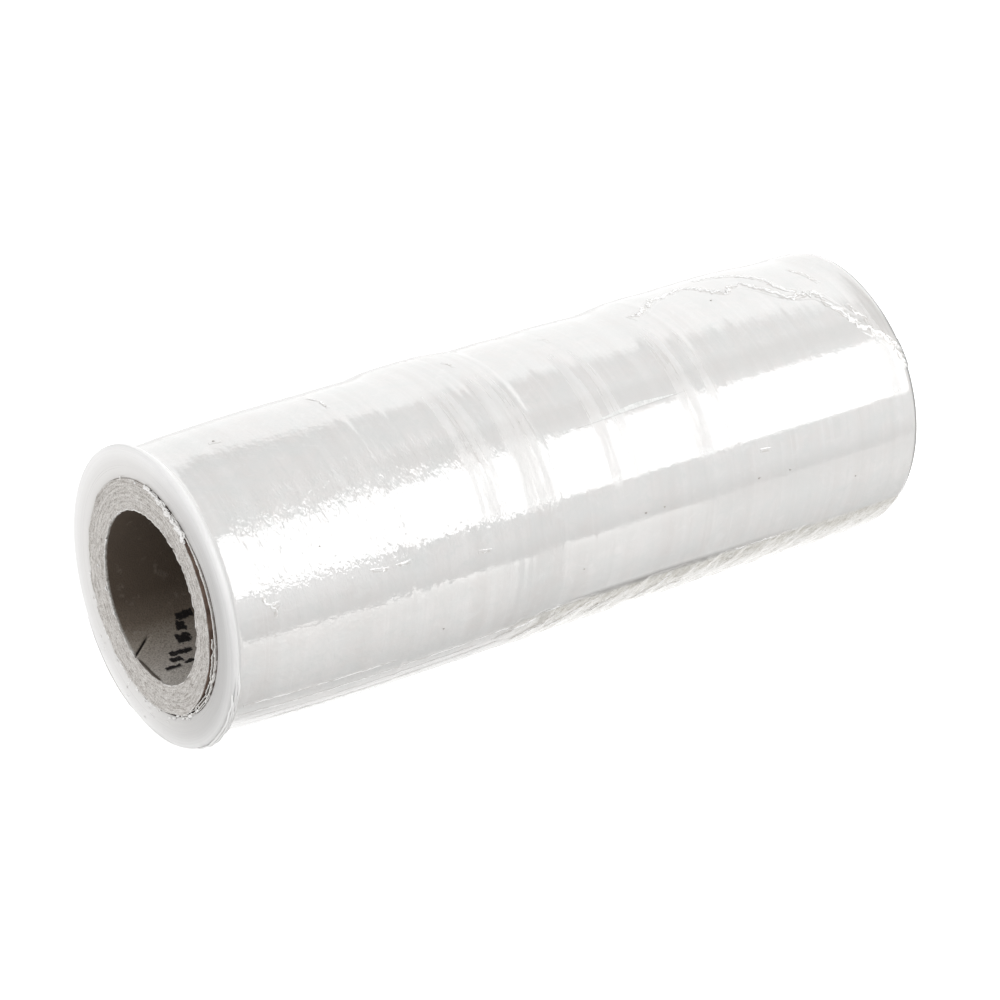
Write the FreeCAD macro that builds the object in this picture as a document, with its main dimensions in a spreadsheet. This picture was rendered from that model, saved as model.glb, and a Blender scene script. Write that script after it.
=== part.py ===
import FreeCAD, Part
import math
import os

# Stretch wrap roll, lying on its side.  All lengths in millimetres.
#
# Frame: +X runs along the roll from the end face with the open gap (-X) to
# the far end (+X), +Z is up, and the origin is on the resting plane under the
# middle of the roll.  Both pieces are built about their own long axis and
# then raised by axis_height.
#
#   core_tube   spiral-wound paperboard tube.  On the near side of its front
#               end the outer plies have come away: the wall is pared down in
#               an eccentric taper, and one ply still spans the gap.
#   film_roll   all turns of film, wound on the tube, as one solid: a flared
#               rim at the front edge, a neck behind it, a slack winding that
#               grows towards the far end, and a small flat where it lies.

doc = FreeCAD.newDocument("stretch_wrap_roll")

# ---------------------------------------------------------------- dimensions
sheet = doc.addObject("Spreadsheet::Sheet", "Sheet")
dims = [
    # tube
    ("roll_length", 250.0),        # tube and film width
    ("core_bore_r", 25.5),         # 51 mm bore
    ("core_outer_r", 34.7),        # 9.2 mm wall
    # lie of the roll
    ("axis_height", 43.9),         # axis above the resting plane
    ("flat_span", 70.0),           # width of the cutting face for the flat
    # film, radius at stations back from the front face
    ("rim_r", 44.3),
    ("rim_width", 2.5),
    ("rim_face_r", 43.5),
    ("rim_edge_x", 0.7),
    ("neck_x", 4.0),
    ("neck_r", 42.1),
    ("waist_x", 9.0),
    ("waist_r", 42.0),
    ("shoulder_x", 32.0),
    ("shoulder_r", 43.3),
    ("belly_x", 75.0),
    ("belly_r", 44.25),
    ("middle_x", 125.0),
    ("middle_r", 44.3),
    ("swell_x", 175.0),
    ("swell_r", 44.6),
    ("tail_x", 225.0),
    ("tail_r", 45.1),
    ("back_x", 247.0),
    ("back_r", 44.9),
    ("back_round", 1.1),
    # gap between tube and film at the front end
    ("gap_turn", 76.5),            # middle of the gap, degrees from the top
    ("gap_depth", 30.0),
    ("film_shift", 0.9),           # offset of the film's opened inner wall
    ("film_front_r", 34.444),
    ("film_deep_r", 33.6),
    ("pare_shift", 3.352),         # offset of the pared wall of the tube
    ("pare_front_r", 35.652),
    ("pare_deep_r", 38.4),
    ("pare_rim_r", 41.0),
    # loose ply that spans the gap
    ("ply_shift", 0.98),
    ("ply_outer_r", 34.78),
    ("ply_thick", 0.6),
    ("ply_set_back", 0.5),
    ("ply_depth", 26.0),
    ("ply_sweep", 150.0),
]
val = {}
for row, (alias, number) in enumerate(dims, start=1):
    sheet.set("A%d" % row, alias)
    sheet.set("B%d" % row, repr(number))
    sheet.setAlias("B%d" % row, alias)
    val[alias] = number
doc.recompute()
for alias, number in dims:
    assert abs(float(getattr(sheet, alias)) - number) < 1e-9, alias


# ------------------------------------------------------------------- helpers
def origin_plane(body, role):
    for feature in body.Origin.OriginFeatures:
        if feature.Role == role:
            return feature
    raise ValueError(role)


def number_of(text):
    """The value now of an expression over the sheet's aliases."""
    names = dict(val)
    plain = text.replace("Sheet.", "")
    total = 0.0
    for term in plain.replace("-", "+-").split("+"):
        term = term.strip()
        if not term:
            continue
        sign = -1.0 if term.startswith("-") else 1.0
        term = term.lstrip("-").strip()
        part = 1.0
        if "/" in term:
            term, low = [w.strip() for w in term.split("/")]
            part = 1.0 / float(low)
        part *= names[term] if term in names else float(term)
        total += sign * part
    return total


def profile(body, name, corners, turn=None, shift=None, sense=1):
    """Closed outline of straight edges on the body's XZ plane.

    corners are pairs of expressions: place along the axis, radius.  turn
    swings the plane about the long axis away from the top, and shift moves
    its own axis sideways in that direction, sense -1 being the other way.
    """
    sk = body.newObject("Sketcher::SketchObject", name)
    sk.AttachmentSupport = (origin_plane(body, "XZ_Plane"), [""])
    sk.MapMode = "FlatFace"
    if turn is not None:
        sk.AttachmentOffset = FreeCAD.Placement(
            FreeCAD.Vector(0, 0, 0), FreeCAD.Rotation(FreeCAD.Vector(1, 0, 0), val[turn]))
        sk.setExpression(".AttachmentOffset.Rotation.Angle", "Sheet.%s * 1 deg" % turn)
        mark = "" if sense > 0 else "-1 * "
        sk.setExpression(".AttachmentOffset.Base.y",
                         "%sSheet.%s * cos(Sheet.%s * 1 deg)" % (mark, shift, turn))
        sk.setExpression(".AttachmentOffset.Base.z",
                         "%sSheet.%s * sin(Sheet.%s * 1 deg)" % (mark, shift, turn))
    spots = [(number_of(a), number_of(b)) for a, b in corners]
    count = len(spots)
    for i in range(count):
        a, b = spots[i], spots[(i + 1) % count]
        sk.addGeometry(Part.LineSegment(FreeCAD.Vector(a[0], a[1], 0),
                                        FreeCAD.Vector(b[0], b[1], 0)), False)
    import Sketcher
    for i in range(count):
        sk.addConstraint(Sketcher.Constraint("Coincident", i, 2, (i + 1) % count, 1))
    for i, (a, b) in enumerate(corners):
        k = sk.addConstraint(Sketcher.Constraint("DistanceX", -1, 1, i, 1, spots[i][0]))
        sk.renameConstraint(k, "x%d" % i)
        sk.setExpression("Constraints.x%d" % i, a)
        k = sk.addConstraint(Sketcher.Constraint("DistanceY", -1, 1, i, 1, spots[i][1]))
        sk.renameConstraint(k, "r%d" % i)
        sk.setExpression("Constraints.r%d" % i, b)
    doc.recompute()
    return sk


def turned(body, kind, name, sk, angle=None):
    """Revolution or groove of an outline about its own horizontal axis."""
    feature = body.newObject("PartDesign::" + kind, name)
    feature.Profile = sk
    feature.ReferenceAxis = (sk, ["H_Axis"])
    if angle is None:
        feature.Angle = 360.0
    else:
        feature.Midplane = True
        feature.setExpression("Angle", "Sheet.%s * 1 deg" % angle)
    doc.recompute()
    return feature


def raised(body):
    body.Placement = FreeCAD.Placement(FreeCAD.Vector(0, 0, val["axis_height"]),
                                       FreeCAD.Rotation())
    body.setExpression(".Placement.Base.z", "Sheet.axis_height")


def at(alias):
    """Place along the axis of a station measured back from the front face."""
    return "Sheet.%s - Sheet.roll_length / 2" % alias


FRONT = "-Sheet.roll_length / 2"
BACK = "Sheet.roll_length / 2"

# ----------------------------------------------------------------- core tube
core = doc.addObject("PartDesign::Body", "core_tube")
core.Label = "core_tube"

# wall of the tube
core_wall_sk = profile(core, "core_wall_outline", [
    (FRONT, "Sheet.core_bore_r"),
    (BACK, "Sheet.core_bore_r"),
    (BACK, "Sheet.core_outer_r"),
    (FRONT, "Sheet.core_outer_r"),
])
core_wall = turned(core, "Revolution", "core_wall", core_wall_sk)
full_core = core_wall.Shape.Volume

# plies gone from the near side of the front end: an eccentric tapering pare
core_pare_sk = profile(core, "core_pare_outline", [
    ("-Sheet.roll_length / 2 - 2", "Sheet.pare_front_r"),
    (at("gap_depth"), "Sheet.pare_deep_r"),
    (at("gap_depth"), "Sheet.pare_rim_r"),
    ("-Sheet.roll_length / 2 - 2", "Sheet.pare_rim_r"),
], turn="gap_turn", shift="pare_shift", sense=-1)
core_pare = turned(core, "Groove", "core_pare", core_pare_sk)
pared_core = core_pare.Shape.Volume
assert full_core - 4000 < pared_core < full_core - 300, (full_core, pared_core)

# one loose ply left across the gap, rooted in the wall at both its sides
core_ply_sk = profile(core, "core_ply_outline", [
    (at("ply_set_back"), "Sheet.ply_outer_r - Sheet.ply_thick"),
    (at("ply_depth"), "Sheet.ply_outer_r - Sheet.ply_thick"),
    (at("ply_depth"), "Sheet.ply_outer_r"),
    (at("ply_set_back"), "Sheet.ply_outer_r"),
], turn="gap_turn", shift="ply_shift", sense=-1)
core_ply = turned(core, "Revolution", "core_ply", core_ply_sk, angle="ply_sweep")
assert pared_core < core_ply.Shape.Volume < full_core
core.Tip = core_ply
raised(core)

# ----------------------------------------------------------------- film roll
film = doc.addObject("PartDesign::Body", "film_roll")
film.Label = "film_roll"

# section of all the turns together
film_sk = profile(film, "film_outline", [
    (FRONT, "Sheet.core_outer_r"),
    (BACK, "Sheet.core_outer_r"),
    (BACK, "Sheet.back_r - Sheet.back_round"),
    ("Sheet.roll_length / 2 - Sheet.back_round / 2", "Sheet.back_r - Sheet.back_round / 4"),
    (at("back_x"), "Sheet.back_r"),
    (at("tail_x"), "Sheet.tail_r"),
    (at("swell_x"), "Sheet.swell_r"),
    (at("middle_x"), "Sheet.middle_r"),
    (at("belly_x"), "Sheet.belly_r"),
    (at("shoulder_x"), "Sheet.shoulder_r"),
    (at("waist_x"), "Sheet.waist_r"),
    (at("neck_x"), "Sheet.neck_r"),
    (at("rim_width"), "Sheet.rim_r - Sheet.rim_edge_x / 2"),
    ("Sheet.rim_width / 2 - Sheet.roll_length / 2", "Sheet.rim_r"),
    (at("rim_edge_x"), "Sheet.rim_r - Sheet.rim_edge_x / 3"),
    (FRONT, "Sheet.rim_face_r"),
])
film_turns = turned(film, "Revolution", "film_turns", film_sk)
full_film = film_turns.Shape.Volume

# inner wall of the film stands off the tube over the gap
film_gap_sk = profile(film, "film_gap_outline", [
    ("-Sheet.roll_length / 2 - 2", "Sheet.core_bore_r"),
    (at("gap_depth"), "Sheet.core_bore_r"),
    (at("gap_depth"), "Sheet.film_deep_r"),
    ("-Sheet.roll_length / 2 - 2", "Sheet.film_front_r"),
], turn="gap_turn", shift="film_shift")
film_gap = turned(film, "Groove", "film_gap", film_gap_sk)
opened_film = film_gap.Shape.Volume
assert full_film - 1500 < opened_film < full_film - 50, (full_film, opened_film)

# the small flat that the soft roll takes where it lies
film_flat_sk = profile(film, "film_flat_outline", [
    ("-Sheet.roll_length / 2 - 4", "-Sheet.axis_height - 8"),
    ("Sheet.roll_length / 2 + 4", "-Sheet.axis_height - 8"),
    ("Sheet.roll_length / 2 + 4", "-Sheet.axis_height"),
    ("-Sheet.roll_length / 2 - 4", "-Sheet.axis_height"),
])
film_flat = film.newObject("PartDesign::Pocket", "film_flat")
film_flat.Profile = film_flat_sk
film_flat.Type = "Length"
film_flat.Midplane = True
film_flat.setExpression("Length", "Sheet.flat_span")
doc.recompute()
assert opened_film - 4000 < film_flat.Shape.Volume < opened_film - 300, (
    opened_film, film_flat.Shape.Volume)
film.Tip = film_flat
raised(film)

# ---------------------------------------------------------- check and export
doc.recompute()
for obj in doc.Objects:
    assert "Invalid" not in obj.State and "Error" not in obj.State, (obj.Name, obj.State)

os.makedirs("parts", exist_ok=True)
for body in (core, film):
    shape = body.Shape
    assert not shape.isNull() and shape.isValid(), body.Label
    assert len(shape.Solids) == 1, (body.Label, len(shape.Solids))
    box = shape.BoundBox
    print("%-10s volume %9.1f mm3  x %.2f..%.2f  y %.2f..%.2f  z %.3f..%.3f  faces %d" % (
        body.Label, shape.Volume, box.XMin, box.XMax, box.YMin, box.YMax,
        box.ZMin, box.ZMax, len(shape.Faces)))
    shape.exportStep(os.path.join("parts", body.Label + ".step"))
print("flat half width at middle and far end: %.1f %.1f mm" % (
    math.sqrt(val["middle_r"] ** 2 - val["axis_height"] ** 2),
    math.sqrt(val["tail_r"] ** 2 - val["axis_height"] ** 2)))
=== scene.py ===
import math

import bpy
import numpy as np
from mathutils import Matrix, Vector


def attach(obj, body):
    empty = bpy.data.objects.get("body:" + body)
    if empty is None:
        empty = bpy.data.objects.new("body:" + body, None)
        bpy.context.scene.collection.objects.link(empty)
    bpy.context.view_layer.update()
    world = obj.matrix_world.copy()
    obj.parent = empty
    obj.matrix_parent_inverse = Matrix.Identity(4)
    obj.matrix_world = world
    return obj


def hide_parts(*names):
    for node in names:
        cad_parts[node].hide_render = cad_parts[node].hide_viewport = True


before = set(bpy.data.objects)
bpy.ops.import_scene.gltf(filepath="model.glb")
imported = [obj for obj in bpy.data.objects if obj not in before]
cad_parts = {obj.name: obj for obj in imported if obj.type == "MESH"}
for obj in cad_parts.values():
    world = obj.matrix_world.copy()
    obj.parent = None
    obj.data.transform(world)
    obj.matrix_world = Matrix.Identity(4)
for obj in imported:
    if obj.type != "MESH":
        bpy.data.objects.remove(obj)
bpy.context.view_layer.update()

# A short hand roll of clear stretch film on a paperboard tube, lying on its
# side.  Lengths here are in millimetres along the roll (x from the front end
# face), radii about the roll's axis, and theta in degrees from the top
# towards the near side (-Y); mesh() turns them into metres in the CAD frame.

LENGTH = 250.0
AXIS_Z = 43.9
BORE_R = 25.5
CORE_R = 34.7
GAP_MID = 76.5
GAP_HALF = 73.5

rng = np.random.RandomState(7)


# ------------------------------------------------------------------- helpers
def place(x, r, theta):
    """Points in metres from roll coordinates in mm and degrees."""
    t = np.radians(theta)
    x, r, t = np.broadcast_arrays(x, r, t)
    return np.stack([(x - LENGTH / 2) / 1000, -r * np.sin(t) / 1000,
                     (AXIS_Z + r * np.cos(t)) / 1000], -1)


def smooth(a, b, v):
    t = np.clip((v - a) / (b - a), 0, 1)
    return t * t * (3 - 2 * t)


def bump(v, centre, width):
    return np.exp(-((v - centre) / width) ** 2)


def blend_points(v, points, soften):
    """Smooth curve through (place, value) points."""
    p = np.array(points, float)
    shifts = (-1.0, -0.5, 0.0, 0.5, 1.0)
    return sum(np.interp(np.asarray(v, float) + k * soften, p[:, 0], p[:, 1]) for k in shifts) / len(shifts)


def lattice(u, v, nu, nv, seed):
    """Smooth noise, -1 to 1.  u, v run 0..1; v wraps round."""
    table = np.random.RandomState(seed).uniform(-1, 1, (nu + 3, nv))
    fu, fv = np.clip(u, 0, 1) * nu, (v % 1.0) * nv
    iu, iv = np.floor(fu).astype(int), np.floor(fv).astype(int)
    tu, tv = fu - iu, fv - iv
    tu, tv = tu * tu * (3 - 2 * tu), tv * tv * (3 - 2 * tv)
    a = table[iu, iv % nv]
    b = table[iu + 1, iv % nv]
    c = table[iu, (iv + 1) % nv]
    d = table[iu + 1, (iv + 1) % nv]
    return (a * (1 - tu) + b * tu) * (1 - tv) + (c * (1 - tu) + d * tu) * tv


def noise(x, theta, mm, deg, seed, octaves=1):
    """Noise over the roll with cells about mm long and deg wide."""
    total, size, norm = 0.0, 1.0, 0.0
    for k in range(octaves):
        nu = max(1, int(round(260.0 / mm * 2 ** k)))
        nv = max(3, int(round(360.0 / deg * 2 ** k)))
        total = total + size * lattice((x + 5) / 260.0, theta / 360.0, nu, nv, seed + 31 * k)
        norm += size
        size *= 0.5
    return total / norm


def gap_shape(theta):
    """1 at the middle of the open gap at the front end, 0 outside it."""
    phi = np.radians((theta - GAP_MID + 180) % 360 - 180)
    edge = math.cos(math.radians(GAP_HALF))
    return np.clip((np.cos(phi) - edge) / (1 - edge), 0, 1)


def mesh_object(name, points, faces, material, smooth_shade=True):
    me = bpy.data.meshes.new(name)
    points = np.asarray(points, np.float32).reshape(-1, 3)
    faces = np.asarray(faces, np.int32)
    me.vertices.add(len(points))
    me.vertices.foreach_set("co", points.ravel())
    n, k = faces.shape
    me.loops.add(n * k)
    me.loops.foreach_set("vertex_index", faces.ravel())
    me.polygons.add(n)
    me.polygons.foreach_set("loop_start", np.arange(0, n * k, k, dtype=np.int32))
    me.polygons.foreach_set("use_smooth", np.full(n, smooth_shade))
    me.update(calc_edges=True)
    me.validate()
    me.materials.append(material)
    ob = bpy.data.objects.new(name, me)
    bpy.context.scene.collection.objects.link(ob)
    return ob


def grid_faces(nu, nv, wrap_u=False, wrap_v=False, flip=False, start=0):
    i, j = np.meshgrid(np.arange(nu if wrap_u else nu - 1),
                       np.arange(nv if wrap_v else nv - 1), indexing="ij")
    i2, j2 = (i + 1) % nu, (j + 1) % nv
    f = np.stack([i * nv + j, i * nv + j2, i2 * nv + j2, i2 * nv + j], -1).reshape(-1, 4)
    return (f[:, ::-1] if flip else f) + start


def paint(ob, values):
    """One number a point for the material: over 0 is pale or creased, under
    0 is bare brown paper."""
    mark = ob.data.attributes.new("mark", "FLOAT", "POINT")
    mark.data.foreach_set("value", np.ascontiguousarray(values, np.float32).ravel())
    return ob


class Sheets:
    """Collects thin closed sheets and builds them as one object."""

    def __init__(self):
        self.points, self.faces, self.marks, self.count = [], [], [], 0

    def add(self, mid, thick, mark=0.0):
        """mid: (nu, nv, 3) points in metres; thick in mm, a number or (nu, nv)."""
        mid = np.asarray(mid, float)
        nu, nv = mid.shape[:2]
        n = np.cross(np.gradient(mid, axis=0), np.gradient(mid, axis=1))
        n /= np.maximum(np.linalg.norm(n, axis=-1, keepdims=True), 1e-12)
        half = np.broadcast_to(np.asarray(thick, float), (nu, nv))[..., None] / 2000
        top, low = flat_floor(mid + n * half), flat_floor(mid - n * half)
        base, m = self.count, nu * nv
        f = grid_faces(nu, nv)
        faces = [f + base, f[:, ::-1] + base + m]
        i, j = np.arange(nu - 1), np.arange(nv - 1)
        for a, b in ((i * nv, (i + 1) * nv), ((i + 1) * nv + nv - 1, i * nv + nv - 1),
                     (j + 1, j), ((nu - 1) * nv + j, (nu - 1) * nv + j + 1)):
            faces.append(np.stack([a, b, b + m, a + m], -1) + base)
        self.points += [top.reshape(-1, 3), low.reshape(-1, 3)]
        self.marks += [np.broadcast_to(np.asarray(mark, float), (nu, nv)).ravel()] * 2
        self.faces += faces
        self.count += 2 * m

    def build(self, name, material):
        ob = mesh_object(name, np.concatenate(self.points), np.concatenate(self.faces), material)
        return paint(ob, np.concatenate(self.marks))


# -------------------------------------------------------------------- shapes
STATIONS = np.array([0, 5, 9, 18, 32, 52, 75, 100, 125, 150, 175, 200, 225, 240, 246, 250.0])
RADII = np.array([42.0, 42.0, 42.05, 42.6, 43.3, 43.9, 44.22, 44.28, 44.32, 44.4, 44.6,
                  44.85, 45.08, 45.1, 45.0, 44.8])


def body_radius(x):
    """Monotone cubic through the stations."""
    h = np.diff(STATIONS)
    d = np.diff(RADII) / h
    m = np.zeros(len(STATIONS))
    m[1:-1] = np.where(d[:-1] * d[1:] > 0,
                       2 * d[:-1] * d[1:] / np.where(d[:-1] + d[1:] == 0, 1, d[:-1] + d[1:]), 0)
    m[0], m[-1] = d[0], d[-1]
    k = np.clip(np.searchsorted(STATIONS, x) - 1, 0, len(h) - 1)
    t = (x - STATIONS[k]) / h[k]
    return ((2 * t**3 - 3 * t**2 + 1) * RADII[k] + (t**3 - 2 * t**2 + t) * h[k] * m[k]
            + (-2 * t**3 + 3 * t**2) * RADII[k + 1] + (t**3 - t**2) * h[k] * m[k + 1])


# ridges that run round the roll: place, height, width, slant, slant phase
RIDGES = [
    (21.0, 0.05, 0.9, 1.2, 20), (26.0, 0.07, 0.8, 1.0, 40), (38.5, 0.05, 1.1, 1.5, 80),
    (58.8, 0.16, 0.8, 0.6, 0), (60.4, -0.10, 0.9, 0.6, 0), (70.5, 0.14, 1.0, 2.4, 160),
    (72.4, -0.08, 1.1, 2.4, 160), (84.0, 0.10, 1.2, 0.8, 60), (90.5, 0.08, 0.9, 0.5, 100),
    (97.0, 0.22, 1.1, 1.8, 190), (101.0, -0.12, 0.7, 0.6, 200), (104.0, 0.10, 1.4, 2.2, 170),
    (108.0, 0.10, 1.0, 2.0, 150), (112.3, 0.16, 0.6, 0.5, 0), (123.8, 0.14, 0.6, 0.7, 30),
    (131.5, -0.08, 0.9, 0.9, 80), (136.0, 0.09, 1.0, 1.1, 60), (140.5, 0.08, 0.8, 0.8, 90),
    (147.0, 0.05, 0.9, 1.0, 20), (154.5, 0.06, 1.2, 1.2, 200), (163.3, 0.13, 0.9, 0.6, 210),
    (170.5, -0.07, 1.0, 0.8, 120), (176.2, 0.12, 0.8, 0.6, 10), (188.5, 0.08, 0.9, 1.0, 100),
    (195.0, 0.10, 1.0, 0.7, 50), (205.0, 0.05, 1.2, 1.6, 150), (216.0, 0.08, 0.9, 0.9, 40),
    (224.5, 0.07, 0.8, 0.7, 70), (232.0, 0.06, 0.8, 0.8, 20), (239.6, 0.06, 0.8, 0.4, 0),
    (245.6, 0.06, 0.6, 0.2, 90), (247.7, 0.10, 0.4, 0.2, 200), (249.2, 0.06, 0.3, 0.1, 20),
]
# places where a turn of film ends: the surface steps down past them
STEPS = [(60.0, -0.06), (98.5, 0.10), (113.0, -0.15), (124.3, 0.05), (163.8, 0.10),
         (177.0, -0.06), (195.5, 0.05), (240.2, -0.04)]


# slack of the outermost turns over the crest of the roll: (mm from the front, mm)
CREST = [(0, 0.3), (46, 0.2), (60, 0.0), (80, 0.1), (87, 1.1), (94, 1.3), (106, 1.2), (113, 0.4), (120, 0.5),
         (128, 0.6), (136, 0.3), (145, 0.7), (153, 0.6), (166, 0.15), (173, 1.1), (181, 1.6), (190, 1.4),
         (214, 1.6), (222, 1.3), (231, 0.7), (238, 0.5), (245, 0.9), (250, 1.3)]


def film_relief(x, theta):
    """Height of the film's surface over its plain section, in mm."""
    t = np.radians(theta)
    out = np.zeros(np.broadcast(x, theta).shape)
    crest = blend_points(x, CREST, 2.5)
    rear_end = smooth(236, 249, x)
    turned = (np.asarray(theta) + 180.0) % 360.0 - 180.0
    out += crest * bump(turned, -30 + 24 * rear_end, 19 + 10 * rear_end)
    for x0, height, width, slant, phase in RIDGES:
        wander = 0.35 * noise(x * 0 + x0, theta, 40, 40, int(x0 * 10) + 5)
        line = x0 + slant * np.sin(t + math.radians(phase)) * 0.6 + wander
        strength = 0.75 + 0.45 * noise(x * 0 + x0, theta, 60, 50, int(x0 * 7) + 3)
        out += 0.48 * height * strength * bump(x, line, width)
    for x0, rise in STEPS:
        line = x0 + 0.25 * noise(x * 0 + x0, theta, 40, 30, int(x0 * 3) + 9)
        out += rise * 0.5 * (1 + np.tanh((x - line) / 0.35))
    out += 0.050 * noise(x, theta, 26, 75, 11, 2) + 0.016 * noise(x, theta, 9, 13, 17, 2)
    streaks = noise(x, theta, 2.2, 70, 23, 2)
    out += (0.008 + 0.018 * bump(x, 98, 16) + 0.018 * bump(x, 138, 8)
            + 0.016 * bump(x, 169, 8)) * streaks
    # fine slanted crackle of the first turns behind the rim
    front = 1 - smooth(50, 75, x)
    out += 0.010 * front * noise(x + 0.05 * theta, theta, 3.0, 7, 41, 2)
    # loose ruffles under the belly on both sides of the resting flat
    rear = smooth(88, 110, x)
    under = smooth(116.5, 119, theta) * (1 - smooth(166, 176, theta))
    under_far = smooth(190, 205, theta) * (1 - smooth(236, 250, theta))
    warp = noise(x, theta, 15, 20, 131, 2)
    ruffle = noise(x + 0.18 * (theta - 115) + 5.0 * warp, theta + 5.0 * noise(x, theta, 9, 30, 137), 6.5, 12, 57, 3)
    fine = noise(x + 0.30 * (theta - 115) - 6.0 * warp, theta, 2.9, 7, 77, 2)
    amount = rear * (1 - 0.6 * smooth(195, 235, x))
    out += under * amount * (0.52 * ruffle + 0.24 * fine - 0.20)
    out += under_far * 0.3 * (0.40 * ruffle + 0.12 * fine)
    # the turn above them ends in a sharp lip
    out += 0.22 * bump(theta, 116.3, 1.4) * smooth(116, 124, x) * (1 - smooth(178, 186, x))
    # long fine edges that run almost along the roll, nearer the front
    long_lines = noise(x * 0.25 + 0.9 * (theta - 120), theta + 0.035 * x, 14, 2.6, 91, 2)
    out += 0.20 * long_lines * smooth(121, 127, theta) * (1 - smooth(160, 170, theta)) * (1 - rear)
    return out


def film_bore(x, theta):
    """Inner wall of the film: it stands off the tube over the gap."""
    fade = np.clip(1 - x / 30.0, 0, 1)
    wide = 0.42 + 0.95 * smooth(34, 58, theta) - 0.25 * smooth(100, 140, theta)
    return CORE_R + wide * gap_shape(theta) ** 0.7 * fade


def core_outer(x, theta):
    """Outer wall of the tube, pared away over the gap."""
    fade = np.clip(1 - x / 28.0, 0, 1)
    slit = 0.5 * bump(np.abs((theta - 163 + 180) % 360 - 180), 0, 11)
    return CORE_R - 0.04 - (3.05 * gap_shape(theta) ** 0.6 + slit) * fade


def flat_floor(points):
    """The soft roll's small flat: nothing reaches below the resting plane."""
    points[..., 2] = np.maximum(points[..., 2], 0.0)
    return points


# ----------------------------------------------------------------- materials
class Nodes:
    """Small wrapper that makes and links shader nodes."""

    def __init__(self, name, world=False):
        self.mat = bpy.data.materials.new(name)
        self.mat.use_nodes = True
        self.tree = self.mat.node_tree
        self.tree.nodes.clear()
        self.out = self.tree.nodes.new("ShaderNodeOutputMaterial")
        self.bsdf = self.tree.nodes.new("ShaderNodeBsdfPrincipled")
        self.tree.links.new(self.bsdf.outputs[0], self.out.inputs["Surface"])
        self.coord = self.tree.nodes.new("ShaderNodeTexCoord").outputs["Object"]

    def new(self, kind, **props):
        node = self.tree.nodes.new(kind)
        for key, value in props.items():
            setattr(node, key, value)
        return node

    def put(self, socket, value):
        if isinstance(value, bpy.types.NodeSocket):
            self.tree.links.new(value, socket)
        else:
            socket.default_value = value
        return socket

    def math(self, op, a, b=0.0, c=0.0, clamp=False):
        node = self.new("ShaderNodeMath", operation=op, use_clamp=clamp)
        for socket, value in zip(node.inputs, (a, b, c)):
            self.put(socket, value)
        return node.outputs[0]

    def split(self, vector=None):
        node = self.new("ShaderNodeSeparateXYZ")
        self.put(node.inputs[0], vector or self.coord)
        return node.outputs

    def scaled(self, sx, sy, sz, vector=None):
        node = self.new("ShaderNodeMapping")
        self.put(node.inputs["Vector"], vector or self.coord)
        node.inputs["Scale"].default_value = (sx, sy, sz)
        return node.outputs[0]

    def join(self, x, y, z):
        node = self.new("ShaderNodeCombineXYZ")
        for socket, value in zip(node.inputs, (x, y, z)):
            self.put(socket, value)
        return node.outputs[0]

    def noise(self, vector, scale, detail=2.0, rough=0.5, distort=0.0):
        node = self.new("ShaderNodeTexNoise")
        self.put(node.inputs["Vector"], vector)
        node.inputs["Scale"].default_value = scale
        node.inputs["Detail"].default_value = detail
        node.inputs["Roughness"].default_value = rough
        node.inputs["Distortion"].default_value = distort
        return node.outputs["Fac"]

    def ramp(self, fac, stops, interpolation="LINEAR"):
        node = self.new("ShaderNodeValToRGB")
        self.put(node.inputs[0], fac)
        cr = node.color_ramp
        cr.interpolation = interpolation
        while len(cr.elements) > 1:
            cr.elements.remove(cr.elements[-1])
        cr.elements[0].position = stops[0][0]
        cr.elements[0].color = self.rgba(stops[0][1])
        for place_, colour in stops[1:]:
            e = cr.elements.new(place_)
            e.color = self.rgba(colour)
        return node.outputs[0]

    @staticmethod
    def rgba(c):
        return (c, c, c, 1) if isinstance(c, (int, float)) else (*c, 1)

    def mix(self, fac, a, b, blend="MIX"):
        node = self.new("ShaderNodeMix", data_type="RGBA", blend_type=blend)
        self.put(node.inputs[0], fac)
        for socket, value in ((node.inputs[6], a), (node.inputs[7], b)):
            if isinstance(value, (tuple, list)) and len(value) == 3:
                value = (*value, 1)
            elif isinstance(value, (int, float)):
                value = (value, value, value, 1)
            self.put(socket, value)
        return node.outputs[2]

    def span(self, value, a, b, c=0.0, d=1.0):
        node = self.new("ShaderNodeMapRange", clamp=True)
        for socket, v in zip(node.inputs, (value, a, b, c, d)):
            self.put(socket, v)
        return node.outputs[0]

    def bump(self, height, strength, distance, normal=None):
        node = self.new("ShaderNodeBump")
        self.put(node.inputs["Height"], height)
        node.inputs["Strength"].default_value = strength
        node.inputs["Distance"].default_value = distance
        if normal is not None:
            self.put(node.inputs["Normal"], normal)
        return node.outputs[0]

    def set(self, **values):
        for key, value in values.items():
            socket = self.bsdf.inputs[key.replace("_", " ")]
            if isinstance(value, (tuple, list)) and len(value) == 3 and len(
                    getattr(socket, "default_value", ())) == 4:
                value = (*value, 1)
            self.put(socket, value)

    def mark(self):
        return self.new("ShaderNodeAttribute", attribute_type="GEOMETRY",
                        attribute_name="mark").outputs["Fac"]

    # roll coordinates: place along the roll (m from the front), radius, angle
    def roll(self):
        x, y, z = self.split()
        along = self.math("ADD", x, LENGTH / 2000)
        up = self.math("SUBTRACT", z, AXIS_Z / 1000)
        radius = self.math("SQRT", self.math("ADD", self.math("MULTIPLY", y, y),
                                             self.math("MULTIPLY", up, up)))
        angle = self.math("ARCTAN2", self.math("MULTIPLY", y, -1.0), up)
        return along, radius, angle, y, up


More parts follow.
